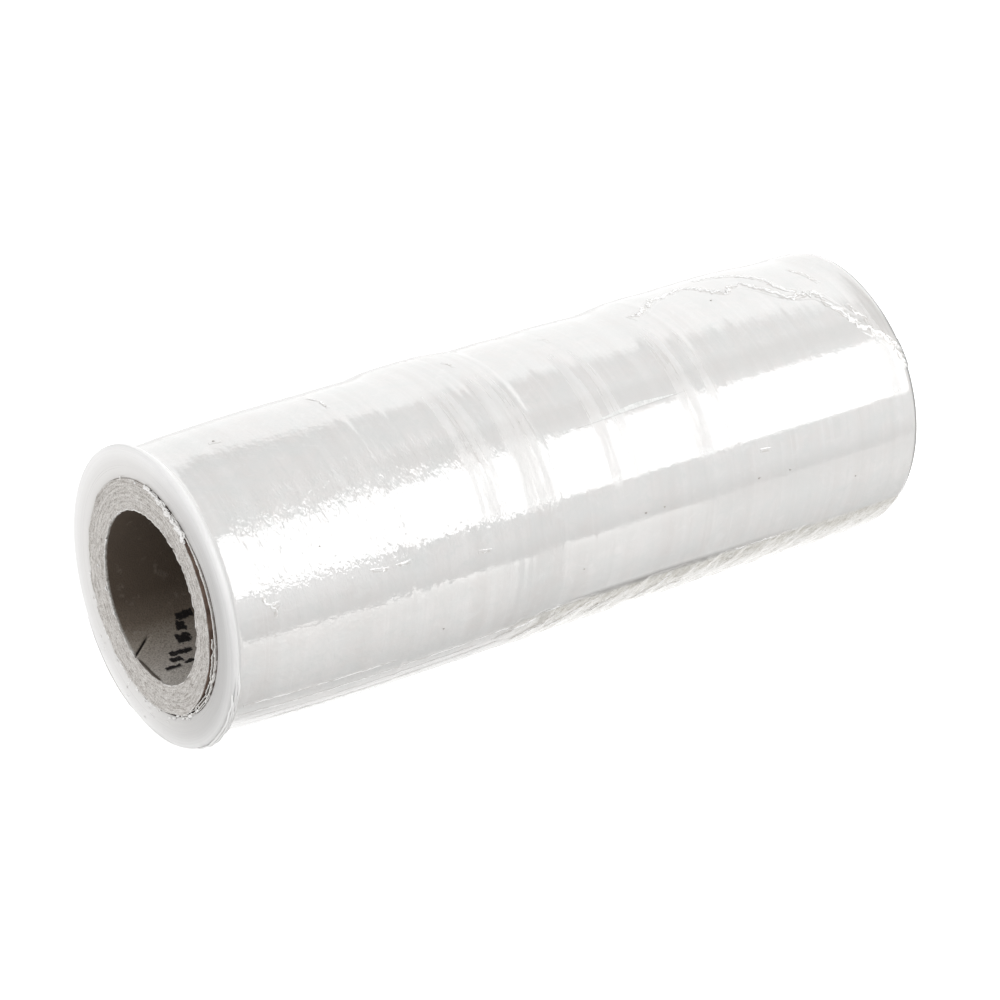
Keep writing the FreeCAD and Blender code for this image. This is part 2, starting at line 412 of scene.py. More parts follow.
def along_ramp(n, along, spans, base=0.0, edge=0.6):
    """1-D map along the roll: spans are (from mm, to mm, value)."""
    stops = [(0.0, base)]
    for a, b, value in spans:
        stops += [((a - edge) / LENGTH, base), ((a + edge) / LENGTH, value),
                  ((b - edge) / LENGTH, value), ((b + edge) / LENGTH, base)]
    stops = [(min(max(p, 0.0), 1.0), v) for p, v in stops]
    return n.ramp(n.math("DIVIDE", along, LENGTH / 1000), stops)


def film_material(name, end_face=False):
    n = Nodes(name)
    along, radius, angle, y, up = n.roll()
    # hazy stripes where the turns have let go of each other
    haze = along_ramp(n, along, [(85, 95, 0.55), (101, 111.6, 0.75), (131, 135.5, 0.7),
                                 (138.8, 142, 0.7), (163.5, 169.5, 0.75), (174.2, 176.8, 0.6),
                                 (240.2, 245, 0.40)], 0.0, 1.1)
    haze = n.math("MULTIPLY", haze, n.math("MULTIPLY", n.span(angle, math.radians(66), math.radians(70), 1.0, 0.20),
                                           n.span(angle, math.radians(8), math.radians(34), 0.25, 1.0)))
    hatch = n.noise(n.scaled(900, 160, 160), 1.0, 4.0, 0.66)
    streak = n.noise(n.scaled(900, 14, 14), 1.0, 3.0, 0.55)
    streak_wide = n.noise(n.scaled(190, 9, 9), 1.0, 2.0, 0.5)
    speck = n.noise(n.coord, 900, 3.0, 0.65)
    columns = n.noise(n.scaled(480, 26, 26), 1.0, 3.0, 0.65)
    worn = n.math("ADD", n.math("MULTIPLY", columns, 0.72), n.math("MULTIPLY", hatch, 0.28))
    cloud = n.noise(n.scaled(40, 60, 60), 1.0, 3.0, 0.5)
    tone = n.ramp(streak_wide, [(0.30, (0.690, 0.670, 0.655)), (0.50, (0.726, 0.708, 0.695)),
                                (0.72, (0.758, 0.744, 0.733))])
    turns = n.noise(n.scaled(330, 2.5, 2.5), 1.0, 3.0, 0.55)
    tone = n.mix(n.span(turns, 0.56, 0.60, 0.0, 0.34), tone, (0.672, 0.655, 0.642))
    tone = n.mix(n.span(turns, 0.41, 0.385, 0.0, 0.34), tone, (0.790, 0.779, 0.770))
    step = n.math("MULTIPLY", n.math("MULTIPLY", n.span(along, 0.0985, 0.1010), n.span(along, 0.1130, 0.1124)),
                  n.span(angle, math.radians(66), math.radians(74)))
    tone = n.mix(n.math("MULTIPLY", step, 0.55), tone, (0.655, 0.638, 0.625))
    fine_streak = n.noise(n.scaled(620, 20, 20), 1.0, 3.0, 0.6)
    tone = n.mix(n.span(fine_streak, 0.42, 0.72, 0.0, 0.13), tone, (0.648, 0.630, 0.614))
    mottle = n.noise(n.scaled(95, 120, 120), 1.0, 5.0, 0.65, 0.6)
    tone = n.mix(n.span(mottle, 0.40, 0.62, 0.0, 0.75), tone, (0.690, 0.697, 0.688))
    blotch = n.noise(n.scaled(260, 300, 300), 1.0, 4.0, 0.6, 0.8)
    tone = n.mix(n.span(blotch, 0.54, 0.66, 0.0, 0.45), tone, (0.655, 0.668, 0.655))
    tone = n.mix(n.span(blotch, 0.42, 0.34, 0.0, 0.40), tone, (0.775, 0.768, 0.758))
    tone = n.mix(n.math("MULTIPLY", haze, 0.66), tone, n.ramp(worn, [
        (0.30, (0.50, 0.475, 0.452)), (0.42, (0.63, 0.610, 0.590)), (0.54, (0.74, 0.727, 0.712)),
        (0.72, (0.84, 0.832, 0.822))]))
    tone = n.mix(n.span(cloud, 0.40, 0.75, 0.0, 0.35), tone, (0.724, 0.722, 0.714))
    # painted shade: a darker belt round the roll below the bright band
    painted_shade_belt = n.math("MULTIPLY", n.span(angle, math.radians(79), math.radians(85)),
                  n.span(angle, math.radians(97), math.radians(90)))
    tone = n.mix(n.math("MULTIPLY", painted_shade_belt, 0.34), tone, (0.60, 0.584, 0.57))
    # painted shade: a darker strip just above the bright band, from about 60 mm back
    painted_shade_crown = n.math("MULTIPLY", n.math("MULTIPLY", n.span(angle, math.radians(33), math.radians(37)),
                                      n.span(angle, math.radians(46), math.radians(41))),
                   n.span(along, 0.054, 0.066))
    tone = n.mix(n.math("MULTIPLY", painted_shade_crown, 0.38), tone, (0.59, 0.575, 0.56))
    # painted light: a paler strip along the lower edge of the bright band near the front
    pale = n.math("MULTIPLY", n.math("MULTIPLY", n.span(angle, math.radians(67), math.radians(71)),
                                     n.span(angle, math.radians(80), math.radians(74))),
                  n.span(along, 0.058, 0.046, 0.0, 0.6))
    tone = n.mix(pale, tone, (0.83, 0.82, 0.812))
    # painted light: a paler strip low on the belly near the front
    painted_light_low = n.math("MULTIPLY", n.math("MULTIPLY", n.span(angle, math.radians(129), math.radians(134)),
                                         n.span(angle, math.radians(147), math.radians(141))),
                      n.span(along, 0.068, 0.056, 0.0, 0.75))
    tone = n.mix(painted_light_low, tone, (0.86, 0.853, 0.845))
    # loose ruffled turns low on the roll, milky with olive-grey folds; the folds are painted lighter towards the bottom
    # edge as light from the floor below
    low = n.math("MULTIPLY", n.span(angle, math.radians(117.5), math.radians(120)),
                 n.span(along, 0.090, 0.116))
    folds = n.noise(n.join(n.math("MULTIPLY", n.math("ADD", along, n.math("MULTIPLY", angle, 0.012)), 420.0),
                           n.math("MULTIPLY", angle, 9.0), 0.0), 1.0, 4.0, 0.65)
    # painted light: the folds grow lighter further down the roll
    folds = n.math("ADD", folds, n.span(angle, math.radians(119), math.radians(140), 0.0, 0.16))
    fringe = n.ramp(folds, [(0.30, (0.56, 0.535, 0.478)), (0.46, (0.70, 0.680, 0.630)),
                            (0.60, (0.82, 0.808, 0.775)), (0.70, (0.90, 0.892, 0.870))])
    wisp = n.noise(n.join(n.math("MULTIPLY", n.math("ADD", along, n.math("MULTIPLY", angle, 0.016)), 230.0),
                          n.math("MULTIPLY", angle, 13.0), 0.0), 1.0, 3.0, 0.6, 1.1)
    wisp = n.span(n.math("ABSOLUTE", n.math("SUBTRACT", wisp, 0.5)), 0.004, 0.022, 0.62, 0.0)
    fringe = n.mix(wisp, fringe, (0.36, 0.335, 0.285))
    tone = n.mix(low, tone, fringe)
    # painted shade: a dark line under the lip of the turn above the ruffles
    seam = n.math("MULTIPLY", n.span(along, 0.114, 0.128), n.span(along, 0.205, 0.165))
    seam = n.math("MULTIPLY", seam, n.math("MULTIPLY", n.span(angle, math.radians(114.6), math.radians(117.2)),
                                           n.span(angle, math.radians(120.0), math.radians(118.0))))
    tone = n.mix(n.math("MULTIPLY", seam, 0.62), tone, (0.16, 0.15, 0.138))
    # the end face is milky at its outer edge and greyer near the tube
    face = n.span(along, 0.0012, 0.0044, 1.0, 0.0)
    ring = n.ramp(n.span(radius, 0.0345, 0.0445), [
        (0.0, (0.47, 0.462, 0.45)), (0.22, (0.56, 0.552, 0.54)), (0.5, (0.66, 0.655, 0.645)),
        (0.75, (0.80, 0.796, 0.785)), (1.0, (0.86, 0.858, 0.85))])
    rings = n.noise(n.join(n.math("MULTIPLY", radius, 2600.0), n.math("MULTIPLY", y, 12.0),
                           n.math("MULTIPLY", up, 12.0)), 1.0, 2.0, 0.6)
    ring = n.mix(n.span(rings, 0.35, 0.75, 0.0, 0.22), ring, (0.52, 0.515, 0.505))
    tone = n.mix(face, tone, ring)
    # painted shade: a darker grey band with hazy strokes near the far end, over the upper side
    turned = n.math("MULTIPLY", n.span(along, 0.2415, 0.2465), n.math("MULTIPLY", n.span(angle, math.radians(4), math.radians(26)),
                                                                  n.span(angle, math.radians(74), math.radians(50))))
    tone = n.mix(n.math("MULTIPLY", turned, n.span(columns, 0.35, 0.60, 0.55, 0.15)), tone, (0.46, 0.44, 0.415))
    # creases: milky along the top of the fold, with thin brownish outlines
    mark = n.mark()
    outline = n.math("MULTIPLY", n.span(mark, 0.05, 0.14), n.span(mark, 0.42, 0.26))
    tone = n.mix(n.math("MULTIPLY", outline, 0.34), tone, (0.44, 0.40, 0.355))
    tone = n.mix(n.span(mark, 0.34, 0.56, 0.0, 0.95), tone, (0.97, 0.968, 0.96))
    # a thin lens of slack film along the top of the bright band: its paler speckled patch is painted reflection of the
    # soft box, edged by a thin dark line
    over = n.math("SUBTRACT", angle, n.math("MULTIPLY_ADD", along, -math.radians(2.6) / 0.051,
                                            math.radians(46.6) + math.radians(2.6) / 0.051 * 0.116))
    reach = n.math("MULTIPLY", n.span(along, 0.117, 0.127), n.span(along, 0.1685, 0.1620))
    thin = n.math("MULTIPLY", reach, n.span(n.math("ABSOLUTE", over), 0.0050, 0.0015))
    depth = n.math("MULTIPLY", n.math("MULTIPLY", n.span(along, 0.128, 0.146), n.span(along, 0.166, 0.150)), 0.036)
    painted_reflection_lens = n.math("MULTIPLY", n.span(n.math("ADD", over, depth), -0.003, 0.003), n.span(over, 0.0015, 0.0))
    painted_reflection_lens = n.math("MULTIPLY", painted_reflection_lens, n.span(depth, 0.004, 0.010))
    tone = n.mix(n.math("MULTIPLY", painted_reflection_lens, 0.7), tone, n.ramp(speck, [(0.42, (0.60, 0.615, 0.60)), (0.6, (0.84, 0.85, 0.835))]))
    tone = n.mix(n.math("MULTIPLY", thin, 0.42), tone, (0.36, 0.355, 0.34))
    # painted shade: a dark line along the far rim, and the film's own bore darkened as if in shadow
    rear = n.math("MULTIPLY", n.span(along, 0.2480, 0.2487), n.span(along, 0.25005, 0.2499, 0.55, 1.0))
    rear = n.math("MULTIPLY", rear, n.span(radius, 0.0434, 0.0440))
    tone = n.mix(n.math("MULTIPLY", rear, 0.85), tone, (0.20, 0.20, 0.195))
    bore = n.math("MULTIPLY", n.span(radius, 0.0372, 0.0366), n.span(along, 0.2495, 0.2485))
    tone = n.mix(bore, tone, (0.085, 0.060, 0.048))
    n.set(Base_Color=tone)
    rough = n.math("ADD", n.span(streak, 0.3, 0.8, 0.050, 0.085),
                   n.math("MULTIPLY", haze, n.span(worn, 0.38, 0.58, 0.16, 1.0)))
    rough = n.math("ADD", rough, n.math("MULTIPLY", bore, 0.5))
    rough = n.math("ADD", rough, n.math("MULTIPLY", painted_reflection_lens, 0.30))
    rough = n.math("ADD", rough, n.span(mark, 0.20, 0.60, 0.0, 0.22))
    rim = n.span(along, 0.0032, 0.0046, 1.0, 0.0)
    rough = n.math("ADD", rough, n.math("MULTIPLY", rim, 0.26))
    n.set(Roughness=rough, IOR=2.3, Subsurface_Weight=0.0)
    fine = n.bump(speck, 0.10, 0.00025)
    lines = n.bump(streak, 0.09, 0.0003, fine)
    # short slack pleats that feather the edges of every reflection
    slack = n.ramp(n.math("DIVIDE", along, LENGTH / 1000), [
        (0.02, 0.0), (0.05, 0.85), (0.20, 1.0), (0.34, 0.75), (0.40, 0.45), (0.45, 0.45), (0.48, 0.14),
        (0.62, 0.12), (0.70, 0.26), (0.74, 0.12), (0.95, 0.16)])
    slack = n.math("MULTIPLY", slack, n.math("MULTIPLY", n.span(angle, math.radians(25), math.radians(37)),
                                             n.span(angle, math.radians(70), math.radians(84), 1.0, 0.35)))
    inner = n.span(angle, math.radians(48), math.radians(54), 1.0, 0.25)
    pleat = n.noise(n.join(n.math("MULTIPLY", n.math("ADD", along, n.math("MULTIPLY", angle, -0.004)), 430.0),
                           n.math("MULTIPLY", angle, 5.5), 0.0), 1.0, 3.0, 0.62)
    pucker = n.noise(n.join(n.math("MULTIPLY", n.math("ADD", along, n.math("MULTIPLY", angle, -0.006)), 420.0),
                            n.math("MULTIPLY", angle, 7.5), 3.0), 1.0, 3.0, 0.6)
    lines = n.bump(n.math("MULTIPLY", pleat, n.math("MULTIPLY", slack, inner)), 1.0, 0.00060, lines)
    lines = n.bump(n.math("MULTIPLY", pucker, slack), 1.0, 0.00055, lines)
    crackle_amount = n.math("ADD", n.span(along, 0.045, 0.075, 0.9, 0.12),
                            n.math("MULTIPLY", haze, 0.35))
    crackle = n.math("MULTIPLY", n.noise(n.scaled(420, 650, 650), 1.0, 2.5, 0.6), crackle_amount)
    n.set(Normal=n.bump(crackle, 0.16, 0.0006, lines))
    return n.mat


def rim_material(name):
    """The cut edges of hundreds of turns: milky, soft, greyer by the tube, with painted shade on the near side of the
    face.
    """
    n = Nodes(name)
    along, radius, angle, y, up = n.roll()
    ring = n.ramp(n.span(radius, 0.0345, 0.0445), [
        (0.0, (0.66, 0.644, 0.626)), (0.20, (0.755, 0.741, 0.727)), (0.5, (0.785, 0.773, 0.762)),
        (0.75, (0.885, 0.877, 0.870)), (1.0, (0.935, 0.93, 0.925))])
    rings = n.noise(n.join(n.math("MULTIPLY", radius, 2600.0), n.math("MULTIPLY", y, 12.0),
                           n.math("MULTIPLY", up, 12.0)), 1.0, 2.0, 0.6)
    ring = n.mix(n.span(rings, 0.40, 0.75, 0.0, 0.20), ring, (0.66, 0.648, 0.635))
    cloud = n.noise(n.coord, 90, 3.0, 0.5)
    ring = n.mix(n.span(cloud, 0.40, 0.70, 0.0, 0.30), ring, (0.80, 0.792, 0.783))
    # painted shade: the face darkened towards the near side, about 96 degrees round from the top, less towards its
    # outer edge, and lightened a little on the far side
    aim = n.math("COSINE", n.math("SUBTRACT", angle, math.radians(96)))
    near = n.math("MULTIPLY", n.math("POWER", n.math("MAXIMUM", aim, 0.0), 0.9),
                  n.span(radius, 0.0408, 0.0442, 0.36, 0.18))
    shade = n.math("ADD", n.math("SUBTRACT", 1.0, near),
                   n.math("MULTIPLY", n.math("MAXIMUM", n.math("MULTIPLY", aim, -1.0), 0.0), 0.06))
    ring = n.mix(1.0, ring, shade, "MULTIPLY")
    slack = n.math("MULTIPLY", n.math("MULTIPLY", n.span(angle, math.radians(98), math.radians(106)),
                                      n.span(angle, math.radians(158), math.radians(148))),
                   n.math("MULTIPLY", n.span(along, 0.0006, 0.0011), n.span(along, 0.020, 0.010)))
    edges_ = n.noise(n.join(n.math("MULTIPLY", along, 1700.0), n.math("MULTIPLY", angle, 4.0), 0.0), 1.0, 3.0, 0.6)
    ring = n.mix(n.math("MULTIPLY", slack, n.span(edges_, 0.50, 0.42, 0.0, 0.8)), ring, (0.22, 0.22, 0.215))
    n.set(Base_Color=ring, Roughness=n.span(rings, 0.3, 0.7, 0.26, 0.38), IOR=1.5)
    speck = n.noise(n.coord, 700, 3.0, 0.6)
    n.set(Normal=n.bump(rings, 0.10, 0.0002, n.bump(speck, 0.12, 0.0003)))
    return n.mat


def board_material(name):
    n = Nodes(name)
    along, radius, angle, y, up = n.roll()
    grain = n.noise(n.coord, 2100, 3.0, 0.66)
    blotch = n.noise(n.coord, 260, 3.0, 0.6)
    plies = n.noise(n.join(n.math("MULTIPLY", radius, 2400.0), n.math("MULTIPLY", y, 26.0),
                           n.math("MULTIPLY", up, 26.0)), 1.0, 3.0, 0.6)
    end = n.ramp(plies, [(0.30, (0.42, 0.395, 0.368)), (0.45, (0.585, 0.557, 0.529)),
                         (0.62, (0.69, 0.662, 0.630)), (0.80, (0.77, 0.745, 0.718))])
    end = n.mix(n.span(grain, 0.36, 0.47, 0.6, 0.0), end, (0.26, 0.232, 0.205))
    end = n.mix(n.span(grain, 0.54, 0.66, 0.0, 0.6), end, (0.92, 0.905, 0.88))
    hair = n.noise(n.join(n.math("MULTIPLY", radius, 1500.0), n.math("MULTIPLY", angle, 9.0), 0.0),
                   1.0, 4.0, 0.6)
    end = n.mix(n.span(hair, 0.37, 0.46, 0.55, 0.0), end, (0.20, 0.17, 0.145))
    end = n.mix(n.span(hair, 0.57, 0.66, 0.0, 0.40), end, (0.90, 0.885, 0.86))
    # pale frayed lips at both edges, brown kraft down the sides of the plies
    mark = n.mark()
    end = n.mix(n.span(mark, 0.10, 0.60, 0.0, 0.95), end, (0.95, 0.935, 0.905))
    end = n.mix(n.span(radius, 0.02530, 0.02505), end, (0.085, 0.070, 0.058))
    kraft = n.ramp(blotch, [(0.35, (0.15, 0.100, 0.078)), (0.60, (0.27, 0.195, 0.155))])
    end = n.mix(n.span(mark, -0.10, -0.70, 0.0, 1.0), end, kraft)
    # kraft paper down the bore, with painted shade: lighter on the bore's floor and darker up its sides and top
    low = n.math("MULTIPLY", n.math("ADD", n.math("DIVIDE", n.math("MULTIPLY", up, -1.0), 0.0255),
                                    n.math("DIVIDE", n.math("MULTIPLY", y, -0.25), 0.0255)), 1.0)
    wall = n.ramp(n.span(low, 0.2, 1.0), [(0.0, (0.125, 0.095, 0.070)), (0.40, (0.22, 0.178, 0.140)),
                                          (0.62, (0.42, 0.372, 0.318)), (0.85, (0.60, 0.552, 0.50)),
                                          (1.0, (0.74, 0.70, 0.65))])
    wall = n.mix(n.span(grain, 0.36, 0.56, 0.55, 0.0), wall, (0.10, 0.078, 0.06))
    wall = n.mix(n.span(blotch, 0.60, 0.74, 0.0, 0.25), wall, (0.50, 0.45, 0.40))
    # plain dashes of dark ink across the wall
    wobble = n.math("MULTIPLY", n.math("SUBTRACT", n.noise(n.coord, 620, 3.0, 0.6), 0.5), 0.0034)
    place_x = n.math("ADD", along, wobble)
    turn = n.math("ADD", n.math("ABSOLUTE", angle), n.math("MULTIPLY", wobble, 34.0))
    ink = 0.0
    for x0, x1, a0, a1 in ((17.6, 23.4, 134.0, 139.5), (16.2, 19.6, 140.5, 146.5), (14.6, 18.8, 149.0, 156.5),
                           (9.2, 16.4, 162.0, 167.0), (8.0, 11.6, 168.5, 174.0), (10.6, 15.8, 175.0, 178.0),
                           (4.4, 9.6, 181.0, 183.6)):
        if a1 > 180:
            a0, a1 = 360 - a1, 360 - a0 + 2.0
        dash = n.math("MULTIPLY", n.span(place_x, x0 / 1000 - 0.0003, x0 / 1000 + 0.0003),
                      n.span(place_x, x1 / 1000 + 0.0003, x1 / 1000 - 0.0003))
        dash = n.math("MULTIPLY", dash, n.math("MULTIPLY", n.span(turn, math.radians(a0 - 0.6), math.radians(a0 + 0.6)),
                                               n.span(turn, math.radians(a1 + 0.6), math.radians(a1 - 0.6))))
        ink = n.math("MAXIMUM", ink, dash)
    ink = n.math("MULTIPLY", n.math("MULTIPLY", ink, n.span(y, -0.0006, 0.0004)), n.span(grain, 0.30, 0.42, 0.62, 1.0))
    wall = n.mix(ink, wall, (0.016, 0.014, 0.014))
    crack = n.math("ADD", n.math("MULTIPLY", n.math("ABSOLUTE", angle), -1.0),
                   n.math("MULTIPLY", along, -29.4))
    crack = n.math("ADD", crack, math.radians(360 - 204.5))
    split = n.math("MULTIPLY", n.span(n.math("ABSOLUTE", crack), 0.022, 0.008),
                   n.math("MULTIPLY", n.span(y, 0.0005, 0.002), n.span(along, 0.0072, 0.0056)))
    wall = n.mix(split, wall, (0.022, 0.017, 0.014))
    inside = n.math("MULTIPLY", n.span(radius, 0.0268, 0.0266), n.span(along, 0.0004, 0.0010))
    tone = n.mix(inside, end, wall)
    n.set(Base_Color=tone, Roughness=n.span(grain, 0.3, 0.7, 0.82, 0.95), IOR=1.4)
    first = n.bump(plies, 0.5, 0.0003)
    n.set(Normal=n.bump(grain, 0.55, 0.0004, first))
    return n.mat


film_mat = film_material("film_wound")
rim_mat = rim_material("film_cut_edge")
board_mat = board_material("paperboard_worn")


# ----------------------------------------------------------------- film roll
def build_film():
    theta = np.concatenate([np.arange(0, 114, 1.62), np.arange(114, 152, 0.85),
                            np.arange(152, 359, 1.8)])[None, :]
    rings_x, rings_r = [], []

    def ring(x, r):
        shape = np.broadcast(x, r, theta).shape
        rings_x.append(np.broadcast_to(x, shape))
        rings_r.append(np.broadcast_to(r, shape))

    # front face, from the tube out to the rim
    inner = film_bore(np.zeros_like(theta), theta)
    for t in np.linspace(0, 1, 22):
        r = inner + t * (43.25 - inner)
        relief = 0.07 * noise(r * 6, theta, 1.2, 60, 301, 2) + 0.10 * noise(r * 2, theta, 6, 50, 302)
        dish = 0.35 * (1 - t) ** 2
        ring(dish + relief * smooth(0, 0.1, t) * smooth(0, 0.15, 1 - t), r)
    # rounded rim, with the edges of the outer turns as fine steps
    wob = 0.10 * noise(theta * 0, theta, 60, 40, 303, 2)
    for x, r in [(0.05, 43.55), (0.16, 43.80), (0.34, 44.02), (0.6, 44.18), (0.9, 44.28),
                 (1.2, 44.32), (1.5, 44.32), (1.8, 44.26), (2.1, 44.12), (2.35, 43.88),
                 (2.6, 43.52), (2.85, 43.1), (3.15, 42.72), (3.5, 42.42), (3.9, 42.22),
                 (4.4, 42.08), (5.0, 42.0)]:
        ring(x + wob * smooth(0, 1.0, x) * (1 - smooth(3.5, 5, x)), r + wob * 0.8)
    xs = np.arange(5.7, 244.8, 0.74)
    xs = np.concatenate([xs, [245.0, 245.5, 246.0, 246.5, 247.0, 247.4, 247.8, 248.2, 248.6, 249.0]])
    for x in xs:
        xx = np.full_like(theta, x)
        ring(xx, body_radius(xx) + film_relief(xx, theta) * smooth(4.5, 8, x)
             - 0.42 * smooth(247.2, 249.0, x))
    for x, drop in [(249.3, 0.62), (249.55, 0.86), (249.78, 1.18), (249.93, 1.55), (249.99, 1.95)]:
        xx = np.full_like(theta, x)
        ring(xx, body_radius(xx) + film_relief(xx, theta) * 0.8 - drop)
    top = rings_r[-1]
    for t in np.linspace(0.06, 1, 14):
        r = top + t * (CORE_R - top)
        relief = 0.07 * noise(r * 6, theta, 1.2, 60, 305, 2) * smooth(0, 0.1, t) * smooth(0, 0.1, 1 - t)
        ring(LENGTH - 0.02 - 0.35 * t * t - relief, r)
    for x in [249.0, 240, 200, 150, 100, 60, 32, 26, 20, 14, 9, 5, 2.2, 0.9]:
        xx = np.full_like(theta, float(x))
        ring(xx, film_bore(xx, theta))
    x, r = np.concatenate(rings_x), np.concatenate(rings_r)
    pts = flat_floor(place(x, r, np.broadcast_to(theta, x.shape)))
    nu, nv = x.shape
    ob = mesh_object("film_roll_wound", pts, grid_faces(nu, nv, True, True, flip=True), film_mat)
    ob.data.materials.append(rim_mat)
    # the cut edge of the turns: front face, its rounded rim and the far face
    row = x.mean(1)
    edge = np.zeros(nu, bool)
    edge[:22 + 14] = True
    edge[np.where(row > 249.5)[0]] = True
    ob.data.polygons.foreach_set("material_index", np.repeat(edge.astype(np.int32), nv))
    return paint(ob, np.zeros(len(ob.data.vertices)))


film = build_film()
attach(film, "root")
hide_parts("film_roll")


# ----------------------------------------------------------------- core tube
def bore_radius(x, theta):
    """Bore wall, with the inner ply lifted to a flat chord at the bottom of
    the front end and a helical butt seam."""
    off = (theta - 186.5 + 180) % 360 - 180
    chord = BORE_R * math.cos(math.radians(17.5)) / np.cos(np.radians(np.clip(off, -17.5, 17.5)))
    fade = 1 - smooth(7, 40, x)
    r = BORE_R - np.where(np.abs(off) < 17.5, (BORE_R - chord), 0) * fade
    seam_at = 204 + (x / 5.99) * 10.1
    seam = (theta - seam_at + 180) % 360 - 180
    crack = bump(seam, 0, 1.0) * (1 - smooth(5.5, 9, x))
    r = r + 0.55 * crack + 0.07 * bump(seam, 0, 0.9) * smooth(5.5, 9, x)
    r = r + 0.05 * noise(x, theta, 7, 14, 401, 2) * smooth(0, 3, x)
    return r


def build_core():
    theta = np.linspace(0, 360, 480, endpoint=False)[None, :]
    rings_x, rings_r, rings_m = [], [], []

    def ring(x, r, mark=0.0):
        shape = np.broadcast(x, r, theta).shape
        rings_x.append(np.broadcast_to(x, shape))
        rings_r.append(np.broadcast_to(r, shape))
        rings_m.append(np.broadcast_to(mark, shape))

    zero = np.zeros_like(theta)
    inner = bore_radius(zero, theta) + 0.22 * noise(theta * 0, theta, 60, 3.4, 410, 3)
    outer = core_outer(zero, theta) + 0.14 * noise(theta * 0, theta, 60, 5.0, 411, 2)
    # left and lower sides of the outer edge are torn up into a pale fringe
    torn = 0.35 + 0.65 * (smooth(180, 215, theta) * (1 - smooth(300, 350, theta)))
    for t in np.linspace(0, 1, 44):
        r = inner + t * (outer - inner)
        ply = noise((r - 25) * 9, theta, 1.0 * 9 * 0.42, 16, 420, 2)
        rough = noise((r - 25) * 9, theta, 2.2, 1.9, 421, 2)
        coarse = noise((r - 25) * 9, theta, 16, 9, 422)
        edge = smooth(0, 0.05, t) * smooth(0, 0.05, 1 - t)
        relief = (0.17 * ply + 0.11 * rough + 0.12 * coarse) * (0.3 + 0.7 * edge)
        keep = 1 - smooth(166, 170, theta) * (1 - smooth(203, 208, theta))
        lip = -0.34 * keep * bump(t, 0.0, 0.045) * (0.6 + 0.9 * noise(theta * 0, theta, 60, 2.6, 423, 2))
        fringe = -0.42 * torn * bump(t, 1.0, 0.06) * (0.5 + 0.8 * noise(theta * 0, theta, 60, 3.6, 424))
        nick = 0.8 * bump(theta, 277, 1.6) * bump(r, 31.5, 1.1)
        patchy = 0.55 + 0.75 * noise(theta * 0, theta, 60, 4.0, 426, 2)
        pale = patchy * (bump(t, 0, 0.028) * keep
                         + bump(t, 1, 0.026) * (0.45 + 0.55 * smooth(0, 0.15, gap_shape(theta))))
        ring(0.12 + relief + lip + fringe + nick, r, np.clip(pale, 0, 1))
    for x in [0.5, 1.0, 1.8, 3, 5, 8, 12, 16, 20, 24, 28, 32, 60, 100, 150, 200, 240, 249.0]:
        xx = np.full_like(theta, float(x))
        ring(xx, core_outer(xx, theta), -1.0)
    for t in np.linspace(0, 1, 18):
        r = CORE_R - 0.05 + t * (BORE_R - CORE_R + 0.05)
        relief = 0.12 * noise((r - 25) * 9, theta, 4, 14, 430, 2)
        ring(LENGTH - 0.15 - relief, r)
    back_to_front = np.concatenate([[249.3, 248, 245, 240], np.arange(230, 60, -10),
                                    np.arange(60, 20, -3.0), np.arange(20, 6, -1.0),
                                    np.arange(6, 1.2, -0.5), [1.2, 0.9, 0.6, 0.35]])
    for x in back_to_front:
        xx = np.full_like(theta, float(x))
        fray = 0.22 * noise(theta * 0, theta, 60, 3.4, 410, 3) * (1 - smooth(0.3, 1.5, x))
        ring(xx, bore_radius(xx, theta) + fray)
    x, r = np.concatenate(rings_x), np.concatenate(rings_r)
    pts = place(x, r, np.broadcast_to(theta, x.shape))
    nu, nv = x.shape
    ob = mesh_object("core_tube_board", pts, grid_faces(nu, nv, True, True, flip=True), board_mat)
    return paint(ob, np.concatenate(rings_m))


core = build_core()
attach(core, "root")
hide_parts("core_tube")


# ------------------------------------------- loose plies in the end's open gap
def ply(sheets, t0, t1, x0, x1, radius, thick, seed, wave=0.25, rag=0.35, n=150):
    """One loose ply of paper: an arc of a thin shell with a ragged front."""
    th = np.linspace(t0, t1, n)[:, None]
    d = np.linspace(0, 1, 11)[None, :] ** 1.9
    ends = smooth(0, 0.12, (th - t0) / (t1 - t0)) * smooth(0, 0.12, (t1 - th) / (t1 - t0))
    front = x0 + rag * (noise(th * 0, th, 60, 4.5, seed, 3) + 0.4 * noise(th * 0, th, 60, 1.6, seed + 1))
    x = front + d * (x1 - front)
    slack_ = wave * (0.35 + 0.65 * smooth(88, 104, th))
    r = radius(th) + slack_ * ends * noise(x, th, 9, 8, seed + 2, 3) * np.exp(-x / 9)
    sheets.add(place(x, r, th), thick * (0.6 + 0.4 * smooth(0, 0.03, d)) + 0 * th,
               0.8 * (1 - smooth(0.0, 0.02, d)) - smooth(0.01, 0.045, d) + 0 * th)


plies = Sheets()
arc = lambda lo, hi: (lambda th: lo + (hi - lo) * gap_shape(th) ** 0.7)
ply(plies, 24, 154, 0.12, 24, arc(34.4, 34.65), 0.30, 501, 0.42, 0.16, 280)
ply(plies, 88, 152, 0.20, 22, arc(34.0, 33.3), 0.22, 511, 0.45, 0.6, 300)
ply(plies, 98, 160, 0.14, 20, arc(34.9, 35.25), 0.20, 521, 0.40, 0.6, 300)
ply(plies, 30, 60, 0.60, 20, arc(33.9, 33.5), 0.16, 531, 0.30, 0.3, 80)
loose = plies.build("core_loose_plies", board_mat)
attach(loose, "root")
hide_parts("core_tube")

# pale crumpled scraps and flecks of paper at the mouth of the gap and
# along the torn edge of the tube
scraps = Sheets()
local = np.random.RandomState(91)


